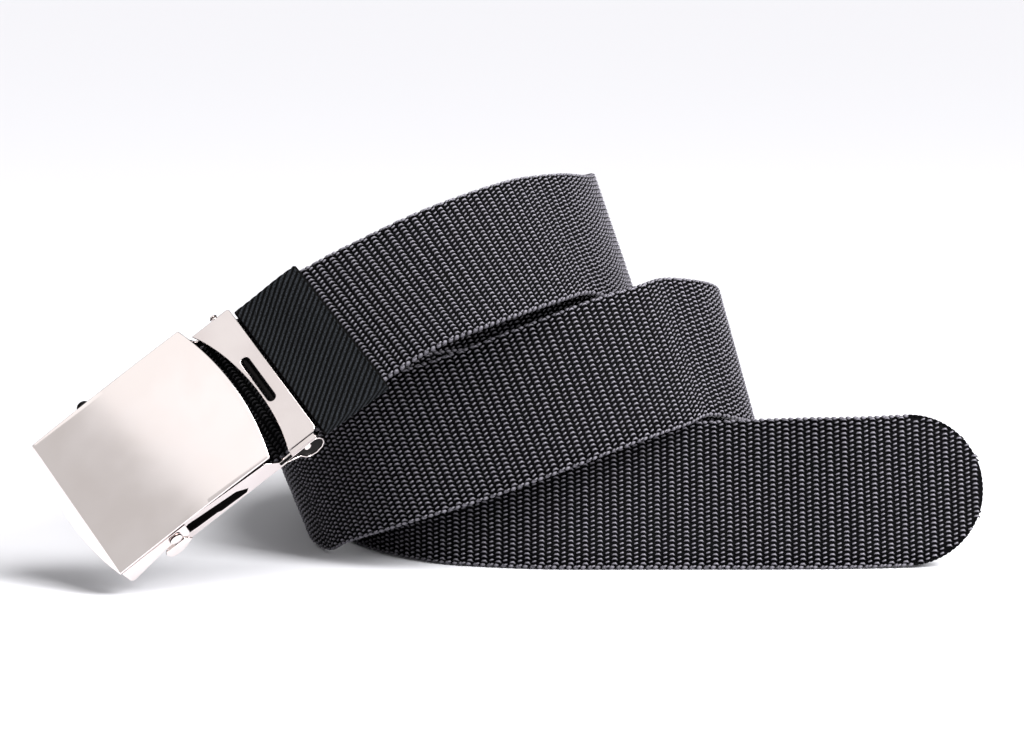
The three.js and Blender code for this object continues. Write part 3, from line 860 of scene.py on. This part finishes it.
eye_collar = arc_points(jaw_pin_x, 3.6, 2, 0, 342, 20)
eye_bar = [(36, -23.2), (foot_end, -23.2), (foot_end, -21.8), (36, -21.8)]
parts = [edged_plate("xy", [floor_outline], 0, sheet)]
for side, outline in ((-1, near_wall), (1, far_wall)):
    low, high = sorted((side * wall_inner, side * (wall_inner + sheet)))
    parts.append(edged_plate("xz", [outline + outer_corner, window, rivet_hole], low, high))
parts.append(edged_plate("xz", [eye_outer, eye_inner], -23.4, -22.9))
parts.append(edged_plate("xz", [eye_outer], -23.0, -22.6))
parts.append(edged_plate("xz", [eye_collar], -22.8, -21.0))
parts.append(edged_plate("xy", [eye_bar], 6.6, 7))


# Faces chosen here get the near-black steel, as painted shade
def frame_inside(middle, normal):
    """True for a face inside the channel, in a window's rim or inside the eye"""
    facing_in = abs(middle[1]) < wall_inner + 0.1 and (
        normal[1] * middle[1] < -5 or (normal[2] > 0.5 and middle[2] < 1)
    )
    in_sheet = abs(normal[1]) < 0.7 and wall_inner < abs(middle[1]) < wall_inner + sheet
    in_window = in_sheet and 4 < middle[0] < 23 and 0.8 < middle[2] < 7
    in_eye = -23.1 < middle[1] < -21.3 and middle[2] < 6.6
    over_eye = middle[1] < -22 and middle[0] < 36 and middle[2] > 6.2 and normal[2] > 0.2
    return facing_in or in_window or in_eye or over_eye


metal_piece("frame_channel", parts, "belt", "buckle_frame", shaded_nickel, frame_inside)


# Cover. A plate of the same sheet, pressed with a slight bow, its outer end bent down into a lip
# and an ear folded down each side to the pin, with a rounded lobe on it. It is the buckle's
# largest mirror.
cover_start, cover_stop, cover_bend = -13.9, 31.7, -13.5
cover_arc = 3.2
cover_half = 21.4
cover_top = 9.5
cover_bow = 0.5
lip_drop = 2.6
lip_share = 0.1
form = bmesh.new()
bmesh.ops.create_grid(form, x_segments=80, y_segments=36, size=0.5)
for vertex in form.verts:
    run, side = vertex.co.x + 0.5, vertex.co.y * 2
    arch = cover_arc * (1 - side * side)
    if run < lip_share:
        x = cover_start - arch + (cover_bend - cover_start + arch) * run / lip_share
    else:
        share = (run - lip_share) / (1 - lip_share)
        x = cover_bend + (cover_stop + arch - cover_bend) * share
    y = side * cover_half
    far = (x - cover_bend) / (cover_stop + cover_arc - cover_bend)
    z = cover_top + cover_bow * 4 * far * (1 - far)
    if x < cover_bend:
        z = cover_top + lip_drop * (x - cover_bend) / (cover_arc - cover_start + cover_bend)
    past = max(x - 33 - 0.01 * y * y, 0)
    z += 0.05 * past**2 / (past + 0.3)
    vertex.co = (x, y, z)
bmesh.ops.solidify(form, geom=form.faces[:], thickness=-sheet)
bmesh.ops.recalc_face_normals(form, faces=form.faces)
hard = [e for e in form.edges if e.is_manifold and e.calc_face_angle() > math.radians(20)]
bmesh.ops.bevel(
    form, geom=hard, offset=0.16, segments=3, profile=0.5, affect="EDGES", material=-1
)
for vertex, co in zip(form.verts, on_buckle([v.co for v in form.verts])):
    vertex.co = co
cover_sheet = bpy.data.meshes.new("cover_sheet")
form.to_mesh(cover_sheet)
form.free()

ear_outline = [(cover_bend, cover_top - 0.35)]
ear_outline += arc_points(cover_bend + 1.3, 3.9, 1.3, 180, 270, 6)
ear_outline += [(-1.9, 5.2)]
ear_outline += arc_points(pin_x, 6.0, 3.6, 195, 345)
ear_outline += [(pin_x + 3.9, cover_top - 0.35)]
parts = [cover_sheet]
lobe_outline = [(-2.8, 3.4), (-2.6, 1.9), (-2.0, 0.8), (-0.8, 0.3), (0.8, 0.3), (2.4, 0.9)]
lobe_outline += [(4.6, 2.3), (4.0, 3.4), (3.2, 4.6), (-2.2, 4.6)]
for side in (-1, 1):
    for outline, start, stop in ((ear_outline, 20.8, 21.4), (lobe_outline, 21.3, 21.9)):
        parts.append(edged_plate("xz", [outline], *sorted((side * start, side * stop))))
metal_piece("cover", parts, "cover", "cover_plate", nickel)


# Clamp jaw. A slotted plate of the same sheet over the frame's cut-down walls, hollowed on the
# cover's side, with a row of teeth under it that bites the webbing.
jaw_low, jaw_high = 6.3, 6.9
jaw_near, jaw_far = -21.5, 19.6
teeth_half = 19.5
jaw_right = frame_length - 0.5
jaw_corner, jaw_far_corner = 1.5, 0.75
arc_far, arc_far_pull, arc_near_pull, arc_near, arc_reach = 1.7, 7.2, 8.9, 4.3, 9
tooth_count = 8
tooth_root, tooth_side, tooth_tip = 4, 3.7, 3.2
lip_half = 17.6
jaw_outline = arc_points(jaw_right - jaw_corner, jaw_near + jaw_corner, jaw_corner, -90, 0, 8)
jaw_outline += arc_points(
    jaw_right - jaw_far_corner, jaw_far - jaw_far_corner, jaw_far_corner, 0, 90, 8
)
for share in np.linspace(0, 1, 28):
    weights = ((1 - share) ** 3, 3 * (1 - share) ** 2 * share, 3 * (1 - share) * share**2)
    x = cover_stop + weights[0] * arc_far + weights[1] * arc_far_pull
    x += weights[2] * arc_near_pull + share**3 * arc_near
    y = weights[0] * jaw_far + share**3 * jaw_near + (weights[1] - weights[2]) * arc_reach
    jaw_outline.append((x, y))
slot_outline = [(jaw_pin_x + 0.1 + y, x) for x, y in capsule(-1, 0, 14.3, 2.4)]
parts = [edged_plate("xy", [jaw_outline, slot_outline], jaw_low, jaw_high)]
lip_outline = [(-lip_half, 5.8), (lip_half, 5.8), (lip_half, 6.6), (-lip_half, 6.6)]
parts.append(edged_plate("yz", [lip_outline], jaw_right - sheet, jaw_right))
for start, stop in ((-teeth_half, -9.65), (7.65, teeth_half)):
    teeth = [(start, tooth_root)]
    pitch = (stop - start) / tooth_count
    for step in range(tooth_count):
        teeth.append((start + pitch * (step + 0.02), tooth_side))
        teeth.append((start + pitch * (step + 0.5), tooth_tip))
    teeth += [(stop, tooth_side), (stop, tooth_root)]
    parts.append(edged_plate("yz", [teeth], jaw_pin_x - 0.3, jaw_pin_x + 0.3))
    knuckle = arc_points(jaw_pin_x, jaw_pin_z, 1.5, 180, 360, 18)
    knuckle += [(jaw_pin_x + 1.5, 6.6), (jaw_pin_x - 1.5, 6.6)]
    pin_hole = arc_points(jaw_pin_x, jaw_pin_z, 1.0, 0, 342, 20)
    parts.append(edged_plate("xz", [knuckle, pin_hole], start, stop))
metal_piece("jaw_plate", parts, "jaw", "clamp_jaw", shaded_nickel)


# Rivets. Turned nickel-plated steel pins, their ends headed over into low domes. One hinges the
# cover and one the jaw; their shanks inside the frame are painted near black as shade, and a ring
# round the cover rivet's heads as painted shadow.
def rivet_mesh(name, x, z, head, shank, low_seat, low_head, high_seat, high_head):
    """A pin along y with a low domed head at each end; seat is where a head starts"""
    bends = np.linspace(0, math.pi / 2, 8)
    rim = [(head - 0.12, 0.0), (head, 0.1)]
    rim += [(head * math.cos(b), 0.45 + 0.55 * math.sin(b)) for b in bends]
    profile = [(r, -low_seat - t * low_head) for r, t in reversed(rim)]
    profile += [(shank, -low_seat), (shank, high_seat)]
    profile += [(r, high_seat + t * high_head) for r, t in rim]
    form = bmesh.new()
    ring = [form.verts.new((max(r, 0), y, 0)) for r, y in profile]
    lines = [form.edges.new(pair) for pair in zip(ring, ring[1:])]
    bmesh.ops.spin(
        form,
        geom=ring + lines,
        axis=(0, 1, 0),
        cent=(0, 0, 0),
        angle=math.tau,
        steps=40,
        use_merge=True,
    )
    bmesh.ops.remove_doubles(form, verts=form.verts, dist=0.0005)
    bmesh.ops.recalc_face_normals(form, faces=form.faces)
    for vertex, co in zip(
        form.verts, on_buckle([(x + v.co.x, v.co.y, z + v.co.z) for v in form.verts])
    ):
        vertex.co = co
    mesh = bpy.data.meshes.new(name)
    form.to_mesh(mesh)
    form.free()
    return mesh


# Shanks inside the frame get near-black steel as painted shade, and the sides of the cover rivet's
# heads as a painted shadow ring
def rivet_dark(middle, normal):
    """True inside the frame, and on the sides of the cover rivet's heads"""
    return abs(middle[1]) < 20 or (middle[0] < 10 and abs(normal[1]) < 0.7)


for piece_name, node_name, sizes in (
    ("cover_rivet", "cover_pin", (pin_x, pin_z, 1.7, 1.0, 21.4, 0.9, 21.9, 2.2)),
    ("jaw_rivet", "jaw_pin", (jaw_pin_x, jaw_pin_z, 1.0, 0.7, 22.8, 0.8, 20.8, 0.5)),
):
    parts = [rivet_mesh(piece_name, *sizes)]
    metal_piece(piece_name, parts, "belt", node_name, nickel, rivet_dark)
